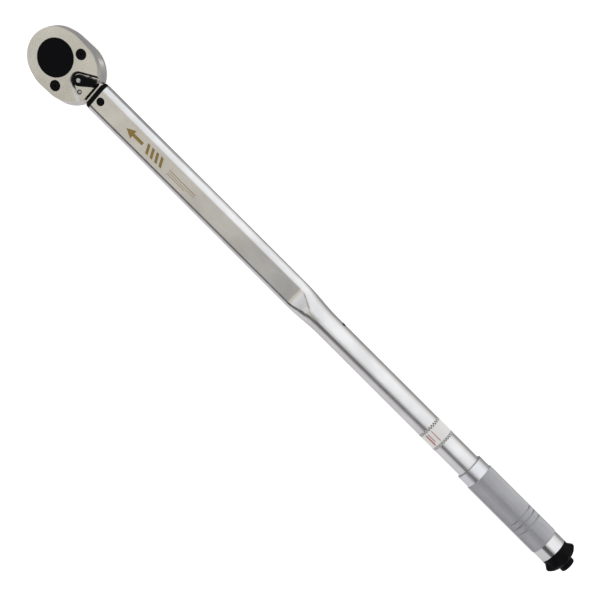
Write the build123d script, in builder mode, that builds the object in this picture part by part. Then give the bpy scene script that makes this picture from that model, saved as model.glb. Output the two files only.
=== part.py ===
from build123d import *
import os
from math import cos, pi, radians, sin, tan

# Click-type torque wrench, 3/4 inch square drive. Millimetres.
# +X runs along the tube to the handle, +Z is the lever's side of the head, and the square
# drive points down. Everything is drawn with z = 0 at the tube's mid-plane; save() then lifts
# it so that the origin is on the drive's axis, level with the shoulder a socket rests on.

# Head
FRONT_CENTRE = -0.8  # the outline is stretched round three circles along X
FRONT_RADIUS = 34.6
MIDDLE_CENTRE = 5.0
MIDDLE_RADIUS = 36.4
REAR_CENTRE = 25.0  # the rear circle at the wall
REAR_RADIUS = 37.3
TOP_Z = 9.0  # top face of the cover plate
PLATE_THICKNESS = 5.5
PLATE_Z = TOP_Z - PLATE_THICKNESS
WALL_Z = -1.0  # below this the wall is upright
TAPER_Z = -5.0  # below this the wall slopes in
BOTTOM_Z = -20.0
BOTTOM_TAPER = 26.0  # degrees
PLATE_REAR_CENTRE = 21.2  # the rear circle where the plate meets the forging
PLATE_REAR_RADIUS = 36.4
TOP_REAR_CENTRE = 20.0  # the rear circle at the plate's top
PLATE_END = 54.2  # the plate stops square, short of the neck's lip
TOP_REAR_RADIUS = 35.8

# Drive gear
GEAR_TEETH = 36
GEAR_TIP_RADIUS = 26.0
GEAR_ROOT_RADIUS = 24.1
GEAR_FLOOR_Z = -12.0
UPPER_HUB_RADIUS = 22.3
LOWER_HUB_RADIUS = 17.5
LOWER_HUB_Z = -21.5
DRIVE_SIZE = 19.05
DRIVE_Z = -45.0
BALL_RADIUS = 3.2
BALL_Z = -35.0
BALL_PROUD = 1.0
BALL_X = DRIVE_SIZE / 2 + BALL_PROUD - BALL_RADIUS

# Lever and pawl
LEVER_X = 36.4
LEVER_ANGLE = 32.0
LEVER_HUB_RADIUS = 6.6
LEVER_REACH = 20.0
LEVER_TIP_WIDTH = 8.0
LEVER_THICKNESS = 3.4
THUMB_LENGTH = 9.0
THUMB_HEIGHT = 5.0
RECESS_DEPTH = 3.6
RECESS_RADIUS = 7.3
RECESS_HALF_ANGLE = 30.0
RECESS_FLARE = 40.0
SHAFT_RADIUS = 3.5
SHAFT_TOP_RADIUS = 2.6
PAWL_ANGLE = 8.0  # how far the pawl rocks each way
PAWL_HUB_RADIUS = 6.2
PAWL_PAD_X = 26.5
PAWL_PAD_Y = 10.0
PAWL_PAD_RADIUS = 2.5

DETENT_RADIUS = 2.5
DETENT_START = LEVER_X + PAWL_HUB_RADIUS + 0.05
DETENT_LENGTH = 6.0
DETENT_BORE_END = 56.0

# Cover fixings
SCREW_X = 19.9
SCREW_Y = 24.2
SCREW_RADIUS = 3.0
SCREW_HEAD_RADIUS = 6.5
SCREW_SINK = 0.1
SCREW_SOCKET = 4.0
SCREW_SOCKET_DEPTH = 2.2
DOWEL_X = 44.8
DOWEL_Y = 10.2
DOWEL_RADIUS = 2.0
DOWEL_DIMPLE_RADIUS = 2.9

# Tube
TUBE_START = 64.6
FLAT_END = 378.0
FLARE_END = 406.0  # the tube has its full height from here
ROUND_START = 428.0
TUBE_END = 735.0
TUBE_RADIUS = 14.65
TUBE_WALL = 2.3
TRANSITION_STEPS = 10
LAST_FLAT = 0.1  # what is left of the flat sides, each way, where the tube is round
BORE_RADIUS = TUBE_RADIUS - TUBE_WALL
FLAT_WIDTH = 36.0
FLAT_THICKNESS = 14.8
PIN_X = 70.6
PIN_RADIUS = 4.9

# Tang of the head inside the tube
NECK_END = 58.6
NECK_WIDTH = 30.0
NECK_HEIGHT = 11.4
NECK_LIP_START = 57.2  # a lip rises from the neck behind the cover plate
NECK_LIP_HEIGHT = 2.6
TANG_ROOT = 57.6
TANG_THICKNESS = 9.2
TANG_MOUTH_WIDTH = 28.6
TANG_BAR_WIDTH = 18.0
TANG_TIP_WIDTH = 12.0
TANG_END = 423.0

# Click mechanism
BLOCK_PIVOT_X = 433.3
BLOCK_WIDTH = 9.0
BLOCK_LENGTH = BLOCK_PIVOT_X - TANG_END - 0.25
PLUNGER_FRONT = BLOCK_PIVOT_X + 1.8
PLUNGER_END = 472.0
PLUNGER_RADIUS = BORE_RADIUS - 0.1
CUP_DEPTH = 14.0
SET_SCREW_X = 441.0
SET_SCREW_RADIUS = 2.25
SLOT_DEPTH = 2.0
SPRING_START = PLUNGER_END - CUP_DEPTH
SPRING_END = 664.0
SPRING_MEAN_RADIUS = 8.7
SPRING_WIRE_RADIUS = 2.2
SPRING_TURNS = 24

# Handle
SEAT_LENGTH = 8.0
BEARING_START = SPRING_END + SEAT_LENGTH
WASHER_THICKNESS = 1.5
BEARING_BALL_RADIUS = 1.5
BEARING_BALLS = 10
BEARING_RING_RADIUS = 7.6
ADJUSTER_START = BEARING_START + 2 * WASHER_THICKNESS + 2 * BEARING_BALL_RADIUS + 0.1
ADJUSTER_FLANGE = 8.0
ADJUSTER_RADIUS = 7.0
NUT_START = 705.0
NUT_PIN_X = 715.0
NUT_PIN_RADIUS = 2.0
SLEEVE_START = 654.0
KNURL_START = 670.0
KNURL_END = 773.5
SLEEVE_SMOOTH_RADIUS = 17.0
KNURL_RADIUS = 18.0
SLEEVE_BORE_RADIUS = TUBE_RADIUS + 0.15
GROOVES = (732.8, 739.5, 747.3)
GROOVE_RADIUS = 0.75
COLLAR_START = 762.0
COLLAR_END = 789.0
COLLAR_RADIUS = 17.3
COLLAR_NUT_RADIUS = 11.0
COLLAR_NUT_LENGTH = 6.0

# Lock knob
KNOB_SKIRT_RADIUS = 17.2
KNOB_LOBE_RADIUS = 20.9
KNOB_LOBES = 6
KNOB_LOBE_ANGLE = -9.4
FLUTE_RADIUS = 8.0
FLUTE_CENTRE = 24.2
KNOB_END = 806.0
HUB_RADIUS = 9.2
HUB_END = 813.0
LOCK_HEAD_START = KNOB_END - 12.0
LOCK_HEAD_END = KNOB_END - 6.0
LOCK_BORE_RADIUS = 3.6
LOCK_ROD_RADIUS = 3.5
LOCK_BORE_START = 706.0
LOCK_HEAD_RADIUS = 7.0
WEDGE_START = 709.0
WEDGE_END = 766.0
WEDGE_TIP_RADIUS = 1.55
WEDGE_TRAVEL = 1.25  # drawn back by one turn of the knob
SPIGOT_RADIUS = 2.2
SPIGOT_LENGTH = 7.0
SLIT_LENGTH = 44.0
SLIT_WIDTH = 1.0

# Label
LABEL_START = 589.0
LABEL_END = 614.0
LABEL_TURN = -20.0  # the label covers the half of the tube that faces up, turned to +Y
LABEL_THICKNESS = 0.12

RUNNING = 0.06  # radial clearance of parts that turn or slide in each other
GAP = 0.02  # clearance of parts that only touch


def save(name, piece):
    """Lift one finished piece into the shared frame, label it and write its own STEP file."""
    piece.part = piece.part.moved(Location((0, 0, -LOWER_HUB_Z)))
    piece.part.label = name
    export_step(piece.part, f"parts/{name}.step")


def hull_round(*circles):
    """Outline stretched round circles, each given as x, y and radius."""
    edges = []
    for x, y, radius in circles:
        circle = Pos(x, y) * Circle(radius, mode=Mode.PRIVATE)
        edges.extend(circle.edges())
    make_hull(edges)


def head_outline(rear_centre, rear_radius, shrink=0.0):
    """Egg-shaped outline round the head's three circles, set in by shrink."""
    front = (FRONT_CENTRE, 0, FRONT_RADIUS - shrink)
    middle = (MIDDLE_CENTRE, 0, MIDDLE_RADIUS - shrink)
    hull_round(front, middle, (rear_centre, 0, rear_radius - shrink))


def eased(share):
    """Smooth step from 0 to 1."""
    share = min(max(share, 0.0), 1.0)
    return share * share * (3 - 2 * share)


def tube_outline(x, inset=0.0, mode=Mode.ADD):
    """Section of the tube at x: flat sides join two half-circles, which grow until they meet."""
    rise = eased((x - FLAT_END) / (FLARE_END - FLAT_END))
    narrowing = eased((x - FLAT_END) / (ROUND_START - FLAT_END))
    half_height = FLAT_THICKNESS / 2 + rise * (TUBE_RADIUS - FLAT_THICKNESS / 2)
    half_width = FLAT_WIDTH / 2 + narrowing * (TUBE_RADIUS + LAST_FLAT - FLAT_WIDTH / 2)
    SlotOverall(2 * (half_width - inset), 2 * (half_height - inset), mode=mode)


def tube_solid(inset, mode=Mode.ADD):
    """Flattened front, transition and round rear of the tube, all set in by the same amount."""
    with BuildSketch(Plane.YZ.offset(TUBE_START)) as flat:
        tube_outline(TUBE_START, inset)
    extrude(flat.sketch, amount=FLAT_END - TUBE_START, mode=mode)
    stations = []
    for step in range(TRANSITION_STEPS + 1):
        x = FLAT_END + (ROUND_START - FLAT_END) * step / TRANSITION_STEPS
        with BuildSketch(Plane.YZ.offset(x)) as station:
            tube_outline(x, inset)
        stations.append(station.sketch)
    loft(stations, mode=mode)
    extrude(stations[-1], amount=TUBE_END - ROUND_START, mode=mode)


def gear_outline(clearance=0.0):
    """Toothed ring with one tooth on the X axis, so it is symmetric about that axis."""
    tooth_angle = 360 / GEAR_TEETH
    profile = (
        (-0.46, GEAR_ROOT_RADIUS),
        (-0.06, GEAR_TIP_RADIUS),
        (0.06, GEAR_TIP_RADIUS),
        (0.46, GEAR_ROOT_RADIUS),
    )
    points = []
    for tooth in range(GEAR_TEETH):
        for share, radius in profile:
            angle = radians((tooth + share) * tooth_angle)
            reach = radius + clearance
            points.append((reach * cos(angle), reach * sin(angle)))
    Polygon(*points, align=None)


def about_lever(x, y, angle):
    """The point (x, y) turned by angle degrees about the lever's axis."""
    turn = radians(angle)
    along = x - LEVER_X
    return (LEVER_X + along * cos(turn) - y * sin(turn), along * sin(turn) + y * cos(turn))


def x_cylinder(radius, start, end, mode=Mode.ADD):
    """Cylinder along X between two stations."""
    with BuildSketch(Plane.YZ.offset(start)) as disc:
        Circle(radius)
    extrude(disc.sketch, amount=end - start, mode=mode)


def z_cylinder(x, y, radius, low, high, mode=Mode.ADD):
    """Cylinder along Z between two heights."""
    with BuildSketch(Plane.XY.offset(low)) as disc:
        with Locations((x, y)):
            Circle(radius)
    extrude(disc.sketch, amount=high - low, mode=mode)


def coil(start, direction, length, turns, mean_radius, wire_radius):
    """Open-wound compression spring whose axis leaves start along direction."""
    axis = Plane(origin=start, z_dir=direction)
    pitch = (length - 2 * wire_radius) / turns
    first = axis.from_local_coords(Vector(0, 0, wire_radius))
    with BuildLine() as line:
        path = Helix(pitch, pitch * turns, mean_radius, center=first, direction=direction)
    with BuildSketch(Plane(origin=path @ 0, z_dir=path % 0)) as wire:
        Circle(wire_radius)
    sweep(wire.sketch, path=line.edge(), is_frenet=True)


os.makedirs("parts", exist_ok=True)

# --- Head -----------------------------------------------------------------------------------

# The tang is full width at the pivot, then a bar that narrows to its tip.
with BuildPart() as tang:
    with BuildSketch(Plane.YZ.offset(TANG_ROOT)):
        SlotOverall(TANG_MOUTH_WIDTH, TANG_THICKNESS)
    extrude(amount=TANG_END - TANG_ROOT)
    with BuildSketch(Plane.XY.offset(-TANG_THICKNESS)):
        with BuildLine():
            Polyline(
                (TANG_ROOT, 0),
                (TANG_ROOT, TANG_MOUTH_WIDTH / 2),
                (PIN_X + 12, TANG_MOUTH_WIDTH / 2),
                (PIN_X + 32, TANG_BAR_WIDTH / 2),
                (FLAT_END - 20, TANG_BAR_WIDTH / 2),
                (FLAT_END + 12, TANG_TIP_WIDTH / 2),
                (TANG_END, TANG_TIP_WIDTH / 2),
                (TANG_END, 0),
                close=True,
            )
        make_face()
        mirror(about=Plane.XZ)
    extrude(amount=2 * TANG_THICKNESS, mode=Mode.INTERSECT)
    z_cylinder(PIN_X, 0, PIN_RADIUS + RUNNING, -TANG_THICKNESS, TANG_THICKNESS, Mode.SUBTRACT)

with BuildPart() as ratchet_head:
    with BuildSketch(Plane.XY.offset(TAPER_Z)):
        head_outline(REAR_CENTRE, REAR_RADIUS)
    extrude(amount=WALL_Z - TAPER_Z)
    with BuildSketch(Plane.XY.offset(TAPER_Z)):
        head_outline(REAR_CENTRE, REAR_RADIUS)
    with BuildSketch(Plane.XY.offset(BOTTOM_Z)):
        head_outline(REAR_CENTRE, REAR_RADIUS, (TAPER_Z - BOTTOM_Z) * tan(radians(BOTTOM_TAPER)))
    loft(ruled=True)
    with BuildSketch(Plane.XY.offset(WALL_Z)):
        head_outline(REAR_CENTRE, REAR_RADIUS)
    with BuildSketch(Plane.XY.offset(PLATE_Z)):
        head_outline(PLATE_REAR_CENTRE, PLATE_REAR_RADIUS)
    loft(ruled=True)
    # The rear is cut off square where the neck begins.
    with BuildSketch(Plane.YZ.offset(NECK_END)):
        Rectangle(4 * REAR_RADIUS, 4 * REAR_RADIUS)
    extrude(amount=REAR_RADIUS, mode=Mode.SUBTRACT)
    # Neck between the head and the seal.
    with BuildSketch(Plane.YZ.offset(LEVER_X + 10)):
        with Locations((0, PLATE_Z - NECK_HEIGHT / 2)):
            RectangleRounded(NECK_WIDTH, NECK_HEIGHT, 4.0)
    extrude(amount=NECK_END - LEVER_X - 10)
    with BuildSketch(Plane.YZ.offset(NECK_LIP_START)):
        with Locations((0, PLATE_Z)):
            RectangleRounded(NECK_WIDTH - 2, 2 * NECK_LIP_HEIGHT, 2.0)
    extrude(amount=NECK_END - NECK_LIP_START)
    add(tang.part)
    # Gear pocket, pawl pocket and the bores.
    with BuildSketch(Plane.XY.offset(GEAR_FLOOR_Z)):
        Circle(GEAR_TIP_RADIUS + 0.4)
    extrude(amount=PLATE_Z - GEAR_FLOOR_Z, mode=Mode.SUBTRACT)
    with BuildSketch(Plane.XY.offset(GEAR_FLOOR_Z)):
        room = [(LEVER_X, 0, PAWL_HUB_RADIUS + 0.6)]
        for side in (1, -1):
            for angle in (-PAWL_ANGLE, PAWL_ANGLE):
                x, y = about_lever(PAWL_PAD_X, side * PAWL_PAD_Y, angle)
                room.append((x, y, PAWL_PAD_RADIUS + 0.6))
        hull_round(*room)
    extrude(amount=PLATE_Z - GEAR_FLOOR_Z, mode=Mode.SUBTRACT)
    z_cylinder(0, 0, LOWER_HUB_RADIUS + RUNNING, BOTTOM_Z - 1, GEAR_FLOOR_Z, Mode.SUBTRACT)
    z_cylinder(LEVER_X, 0, SHAFT_RADIUS + RUNNING, GEAR_FLOOR_Z - 3, GEAR_FLOOR_Z, Mode.SUBTRACT)
    for side in (1, -1):
        z_cylinder(SCREW_X, side * SCREW_Y, SCREW_RADIUS + GAP, -9, PLATE_Z, Mode.SUBTRACT)
        z_cylinder(DOWEL_X, side * DOWEL_Y, DOWEL_RADIUS + GAP, -1, PLATE_Z, Mode.SUBTRACT)

    x_cylinder(DETENT_RADIUS + RUNNING, DETENT_START, DETENT_BORE_END, Mode.SUBTRACT)

save("ratchet_head", ratchet_head)

with BuildPart() as cover_plate:
    with BuildSketch(Plane.XY.offset(PLATE_Z)):
        head_outline(PLATE_REAR_CENTRE, PLATE_REAR_RADIUS)
    with BuildSketch(Plane.XY.offset(TOP_Z)):
        head_outline(TOP_REAR_CENTRE, TOP_REAR_RADIUS, 0.5)
    loft(ruled=True)
    with BuildSketch(Plane.YZ.offset(PLATE_END)):
        Rectangle(4 * REAR_RADIUS, 4 * REAR_RADIUS)
    extrude(amount=REAR_RADIUS, mode=Mode.SUBTRACT)
    z_cylinder(0, 0, UPPER_HUB_RADIUS + RUNNING, PLATE_Z, TOP_Z, Mode.SUBTRACT)
    z_cylinder(LEVER_X, 0, SHAFT_RADIUS + RUNNING, PLATE_Z, TOP_Z, Mode.SUBTRACT)
    # Fan-shaped recess for the lever, with sloping sides.
    fan = 30.0
    fan_radius = RECESS_RADIUS + fan * sin(radians(RECESS_HALF_ANGLE))
    with BuildSketch(Plane.XY.offset(TOP_Z - RECESS_DEPTH)):
        hull_round((LEVER_X, 0, RECESS_RADIUS), (LEVER_X + fan, 0, fan_radius))
    extrude(amount=RECESS_DEPTH, taper=-RECESS_FLARE, mode=Mode.SUBTRACT)
    for side in (1, -1):
        with Locations((SCREW_X, side * SCREW_Y, TOP_Z)):
            CounterSinkHole(SCREW_RADIUS + GAP, SCREW_HEAD_RADIUS + GAP, depth=2 * PLATE_THICKNESS)
        floor = TOP_Z - RECESS_DEPTH
        z_cylinder(DOWEL_X, side * DOWEL_Y, DOWEL_RADIUS + GAP, PLATE_Z, floor, Mode.SUBTRACT)
        z_cylinder(DOWEL_X, side * DOWEL_Y, DOWEL_DIMPLE_RADIUS, floor - 0.9, floor, Mode.SUBTRACT)
save("cover_plate", cover_plate)

with BuildPart() as cover_screws:
    shank_end = -8.0
    for side in (1, -1):
        z_cylinder(SCREW_X, side * SCREW_Y, SCREW_RADIUS, shank_end, TOP_Z - SCREW_RADIUS)
        with BuildSketch(Plane.XY.offset(TOP_Z - SCREW_HEAD_RADIUS + SCREW_RADIUS)) as cone_foot:
            with Locations((SCREW_X, side * SCREW_Y)):
                Circle(SCREW_RADIUS)
        extrude(cone_foot.sketch, amount=SCREW_HEAD_RADIUS - SCREW_RADIUS - SCREW_SINK, taper=-45)
        with BuildSketch(Plane.XY.offset(TOP_Z - SCREW_SINK)) as socket:
            with Locations((SCREW_X, side * SCREW_Y)):
                RegularPolygon(SCREW_SOCKET / 2, 6, major_radius=False)
        extrude(socket.sketch, amount=-SCREW_SOCKET_DEPTH, mode=Mode.SUBTRACT)
save("cover_screws", cover_screws)

with BuildPart() as cover_dowels:
    for side in (1, -1):
        z_cylinder(DOWEL_X, side * DOWEL_Y, DOWEL_RADIUS, -0.9, TOP_Z - RECESS_DEPTH - 0.3)
    chamfer(cover_dowels.edges().group_by(Axis.Z)[-1], 0.4)
save("cover_dowels", cover_dowels)

# --- Drive gear and the ball that holds a socket -----------------------------------------------

with BuildPart() as drive_gear:
    with BuildSketch(Plane.XY.offset(GEAR_FLOOR_Z + 0.1)):
        gear_outline()
    extrude(amount=PLATE_Z - GEAR_FLOOR_Z - 0.2)
    z_cylinder(0, 0, UPPER_HUB_RADIUS, PLATE_Z - 0.2, TOP_Z + 0.1)
    chamfer(drive_gear.edges().group_by(Axis.Z)[-1], 0.3)
    z_cylinder(0, 0, LOWER_HUB_RADIUS, LOWER_HUB_Z, GEAR_FLOOR_Z + 0.2)
    with BuildSketch(Plane.XY.offset(DRIVE_Z)):
        RectangleRounded(DRIVE_SIZE, DRIVE_SIZE, 1.2)
    extrude(amount=LOWER_HUB_Z - DRIVE_Z)
    chamfer(drive_gear.edges().group_by(Axis.Z)[0], 1.0)
    with BuildSketch(Plane.YZ) as ball_hole:
        with Locations((0, BALL_Z)):
            Circle(BALL_RADIUS + RUNNING)
    extrude(ball_hole.sketch, amount=DRIVE_SIZE, mode=Mode.SUBTRACT)
save("drive_gear", drive_gear)

with BuildPart() as socket_ball:
    with Locations((BALL_X, 0, BALL_Z)):
        Sphere(BALL_RADIUS)
save("socket_ball", socket_ball)

with BuildPart() as socket_ball_spring:
    length = BALL_X - BALL_RADIUS - 0.4
    coil((0.2, 0, BALL_Z), (1, 0, 0), length, 4, 2.2, 0.35)
save("socket_ball_spring", socket_ball_spring)

# --- Lever, its shaft, the pawl and the detent -------------------------------------------------

floor_z = TOP_Z - RECESS_DEPTH
with BuildPart() as reversing_lever:
    tip_radius = 1.6
    tip_x = LEVER_X + LEVER_REACH - tip_radius
    half_tip = LEVER_TIP_WIDTH / 2 - tip_radius
    with BuildSketch(Plane.XY.offset(floor_z + 0.1)):
        hub = (LEVER_X, 0, LEVER_HUB_RADIUS)
        hull_round(hub, (tip_x, half_tip, tip_radius), (tip_x, -half_tip, tip_radius))
    extrude(amount=LEVER_THICKNESS)
    # Thumb pad at the tip, with a small step on its upper edge.
    with BuildSketch(Plane.XY.offset(floor_z + 0.1)):
        with Locations((LEVER_X + LEVER_REACH - THUMB_LENGTH / 2, 0.4)):
            RectangleRounded(THUMB_LENGTH, LEVER_TIP_WIDTH + 1.2, tip_radius)
    extrude(amount=THUMB_HEIGHT)
    fillet(reversing_lever.edges().group_by(Axis.Z)[-1], 0.9)
    z_cylinder(LEVER_X, 0, SHAFT_TOP_RADIUS + GAP, floor_z - 1, TOP_Z + 9, Mode.SUBTRACT)
reversing_lever.part = reversing_lever.part.rotate(Axis((LEVER_X, 0, 0), (0, 0, 1)), LEVER_ANGLE)
save("reversing_lever", reversing_lever)

with BuildPart() as lever_shaft:
    lever_top = floor_z + 0.1 + LEVER_THICKNESS
    z_cylinder(LEVER_X, 0, SHAFT_RADIUS, GEAR_FLOOR_Z - 2.9, floor_z + 0.05)
    z_cylinder(LEVER_X, 0, SHAFT_TOP_RADIUS, floor_z, lever_top + 0.5)
    fillet(lever_shaft.edges().group_by(Axis.Z)[-1], 0.45)
save("lever_shaft", lever_shaft)

# The pawl is drawn in its middle position and cleared wherever the gear's teeth come past it
# as it rocks; then it is turned to the side that the lever has chosen.
with BuildPart() as pawl:
    with BuildSketch(Plane.XY.offset(GEAR_FLOOR_Z + 0.3)):
        hub = (LEVER_X, 0, PAWL_HUB_RADIUS)
        upper_pad = (PAWL_PAD_X, PAWL_PAD_Y, PAWL_PAD_RADIUS)
        lower_pad = (PAWL_PAD_X, -PAWL_PAD_Y, PAWL_PAD_RADIUS)
        hull_round(hub, upper_pad, lower_pad)
    extrude(amount=PLATE_Z - GEAR_FLOOR_Z - 0.6)
    with BuildSketch(Plane.XY.offset(GEAR_FLOOR_Z)) as gear_space:
        gear_outline(0.12)
    pivot = Axis((LEVER_X, 0, 0), (0, 0, 1))
    for share in (-1, -0.75, -0.5, -0.25, 0, 0.25, 0.5, 0.75, 1):
        turned = gear_space.sketch.rotate(pivot, share * PAWL_ANGLE)
        extrude(turned, amount=PLATE_Z - GEAR_FLOOR_Z, mode=Mode.SUBTRACT)
    z_cylinder(LEVER_X, 0, SHAFT_RADIUS + RUNNING, GEAR_FLOOR_Z, PLATE_Z, Mode.SUBTRACT)
pawl.part = pawl.part.rotate(Axis((LEVER_X, 0, 0), (0, 0, 1)), PAWL_ANGLE)
save("pawl", pawl)

with BuildPart() as pawl_detent:
    x_cylinder(DETENT_RADIUS, DETENT_START, DETENT_START + DETENT_LENGTH)
    fillet(pawl_detent.edges().group_by(Axis.X)[0], DETENT_RADIUS - 0.6)
save("pawl_detent", pawl_detent)

with BuildPart() as pawl_detent_spring:
    start = DETENT_START + DETENT_LENGTH + 0.1
    coil((start, 0, 0), (1, 0, 0), DETENT_BORE_END - start - 0.1, 4, 1.9, 0.35)
save("pawl_detent_spring", pawl_detent_spring)

# --- Tube and the pieces fixed in it -----------------------------------------------------------

with BuildPart() as tube:
    tube_solid(0)
    tube_solid(TUBE_WALL, Mode.SUBTRACT)
    z_cylinder(PIN_X, 0, PIN_RADIUS + GAP, -FLAT_THICKNESS, FLAT_THICKNESS, Mode.SUBTRACT)
    with BuildSketch(Plane.XZ) as screw_hole:
        with Locations((SET_SCREW_X, 0)):
            Circle(SET_SCREW_RADIUS + GAP)
    extrude(screw_hole.sketch, amount=-2 * TUBE_RADIUS, mode=Mode.SUBTRACT)
    for side in (1, -1):
        z_cylinder(NUT_PIN_X, 0, NUT_PIN_RADIUS + GAP, 0, side * TUBE_RADIUS, Mode.SUBTRACT)
save("tube", tube)

with BuildPart() as pivot_pin:
    pin_half = FLAT_THICKNESS / 2 - 0.1
    z_cylinder(PIN_X, 0, PIN_RADIUS, -pin_half, pin_half)
    chamfer(pivot_pin.edges().filter_by(GeomType.CIRCLE), 0.2)
save("pivot_pin", pivot_pin)

with BuildPart() as tube_seal:
    with BuildSketch(Plane.YZ.offset(NECK_END + 0.3)):
        SlotOverall(FLAT_WIDTH - 1.0, FLAT_THICKNESS - 1.0)
    extrude(amount=TUBE_START - NECK_END - 0.4)
    fillet(tube_seal.edges().group_by(Axis.X)[0], 2.4)
    with BuildSketch(Plane.YZ.offset(NECK_END)):
        SlotOverall(TANG_MOUTH_WIDTH + 1.0, TANG_THICKNESS + 0.8)
    extrude(amount=TUBE_START - NECK_END, mode=Mode.SUBTRACT)
save("tube_seal", tube_seal)

with BuildPart() as side_set_screw:
    with BuildSketch(Plane.XZ.offset(-PLUNGER_RADIUS + SLOT_DEPTH - 0.6)) as shank:
        with Locations((SET_SCREW_X, 0)):
            Circle(SET_SCREW_RADIUS)
    extrude(shank.sketch, amount=-(TUBE_RADIUS - PLUNGER_RADIUS + SLOT_DEPTH - 0.2))
    outer = side_set_screw.faces().sort_by(Axis.Y)[-1]
    with BuildSketch(outer) as hexagon:
        RegularPolygon(1.0, 6, major_radius=False)
    extrude(hexagon.sketch, amount=-1.5, mode=Mode.SUBTRACT)
save("side_set_screw", side_set_screw)

with BuildPart() as tube_nut:
    x_cylinder(BORE_RADIUS - GAP, NUT_START, TUBE_END)
    x_cylinder(ADJUSTER_RADIUS + RUNNING, NUT_START, TUBE_END, Mode.SUBTRACT)
    chamfer(tube_nut.edges().group_by(Axis.X)[0], 0.4)
    for side in (1, -1):
        z_cylinder(NUT_PIN_X, 0, NUT_PIN_RADIUS + GAP, 0, side * BORE_RADIUS, Mode.SUBTRACT)
save("tube_nut", tube_nut)

with BuildPart() as nut_pins:
    for side in (1, -1):
        inner = side * (ADJUSTER_RADIUS + 0.5)
        z_cylinder(NUT_PIN_X, 0, NUT_PIN_RADIUS, inner, side * (TUBE_RADIUS - 0.15))
save("nut_pins", nut_pins)

with BuildPart() as scale_label:
    with BuildSketch(Plane.YZ.offset(LABEL_START)):
        tube_outline(LABEL_START, -0.01 - LABEL_THICKNESS)
        tube_outline(LABEL_START, -0.01, Mode.SUBTRACT)
        side = 4 * TUBE_RADIUS
        Rectangle(side, side, LABEL_TURN, (Align.CENTER, Align.MIN), Mode.INTERSECT)
    extrude(amount=LABEL_END - LABEL_START)
save("scale_label", scale_label)

# --- Click mechanism ---------------------------------------------------------------------------

with BuildPart() as tilt_block:
    with BuildSketch(Plane.XY.offset(-BLOCK_WIDTH / 2)):
        with Locations((BLOCK_PIVOT_X, 0)):
            Circle(BLOCK_WIDTH / 2)
        with Locations((BLOCK_PIVOT_X - BLOCK_LENGTH / 2, 0)):
            Rectangle(BLOCK_LENGTH, BLOCK_WIDTH)
    extrude(amount=BLOCK_WIDTH)
    chamfer(tilt_block.edges().filter_by(Axis.Z).group_by(Axis.X)[0], 0.5)
save("tilt_block", tilt_block)

with BuildPart() as plunger:
    x_cylinder(PLUNGER_RADIUS, PLUNGER_FRONT, PLUNGER_END)
    chamfer(plunger.edges().group_by(Axis.X)[0], 0.8)
    # Groove for the round back of the tilt block.
    with BuildSketch(Plane.XY.offset(-BLOCK_WIDTH / 2 - RUNNING)) as groove:
        with Locations((BLOCK_PIVOT_X, 0)):
            Circle(BLOCK_WIDTH / 2 + RUNNING)
    extrude(groove.sketch, amount=BLOCK_WIDTH + 2 * RUNNING, mode=Mode.SUBTRACT)
    # Cup for the main spring.
    x_cylinder(PLUNGER_RADIUS - 0.8, SPRING_START, PLUNGER_END, Mode.SUBTRACT)
    # Slot for the set screw's tip, which stops the plunger turning.
    with BuildSketch(Plane.XZ.offset(-PLUNGER_RADIUS - 1)) as slot:
        with Locations((SET_SCREW_X + 0.5, 0)):
            SlotOverall(2 * SET_SCREW_RADIUS + 3.0, 2 * SET_SCREW_RADIUS + 0.2)
    extrude(slot.sketch, amount=SLOT_DEPTH + 1, mode=Mode.SUBTRACT)
save("plunger", plunger)

with BuildPart() as main_spring:
    start = (SPRING_START + 0.1, 0, 0)
    length = SPRING_END - SPRING_START - 0.2
    coil(start, (1, 0, 0), length, SPRING_TURNS, SPRING_MEAN_RADIUS, SPRING_WIRE_RADIUS)
save("main_spring", main_spring)

# --- Handle ------------------------------------------------------------------------------------

with BuildPart() as spring_seat:
    x_cylinder(BORE_RADIUS - 0.15, SPRING_END, BEARING_START - GAP)
    chamfer(spring_seat.edges(), 0.5)
    x_cylinder(SPRING_MEAN_RADIUS - SPRING_WIRE_RADIUS - 0.6, SPRING_END - 6, SPRING_END + 1)
save("spring_seat", spring_seat)

with BuildPart() as thrust_bearing:
    ball_x = BEARING_START + WASHER_THICKNESS + BEARING_BALL_RADIUS + 0.03
    rear_washer = BEARING_START + WASHER_THICKNESS + 2 * BEARING_BALL_RADIUS + 0.06
    for start in (BEARING_START, rear_washer):
        x_cylinder(BORE_RADIUS - 0.3, start, start + WASHER_THICKNESS)
        x_cylinder(4.0, start, start + WASHER_THICKNESS, Mode.SUBTRACT)
    for ball in range(BEARING_BALLS):
        turn = 2 * pi * ball / BEARING_BALLS
        across = BEARING_RING_RADIUS * cos(turn)
        up = BEARING_RING_RADIUS * sin(turn)
        with Locations((ball_x, across, up)):
            Sphere(BEARING_BALL_RADIUS)
save("thrust_bearing", thrust_bearing)

with BuildPart() as adjusting_screw:
    x_cylinder(BORE_RADIUS - 0.8, ADJUSTER_START, ADJUSTER_START + ADJUSTER_FLANGE)
    chamfer(adjusting_screw.edges(), 0.6)
    x_cylinder(ADJUSTER_RADIUS, ADJUSTER_START + ADJUSTER_FLANGE - 1, COLLAR_END - 1)
    x_cylinder(LOCK_BORE_RADIUS, LOCK_BORE_START, COLLAR_END, Mode.SUBTRACT)
    # Narrow seat that the wedge spreads, and the slits that let the screw spread there.
    x_cylinder(LOCK_BORE_RADIUS - 1.6, LOCK_BORE_START - 8, LOCK_BORE_START + 1, Mode.SUBTRACT)
    with Locations((LOCK_BORE_START + SLIT_LENGTH / 2 - 6, 0, 0)):
        Box(SLIT_LENGTH, 3 * ADJUSTER_RADIUS, SLIT_WIDTH, mode=Mode.SUBTRACT)
        Box(SLIT_LENGTH, SLIT_WIDTH, 3 * ADJUSTER_RADIUS, mode=Mode.SUBTRACT)
save("adjusting_screw", adjusting_screw)

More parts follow.
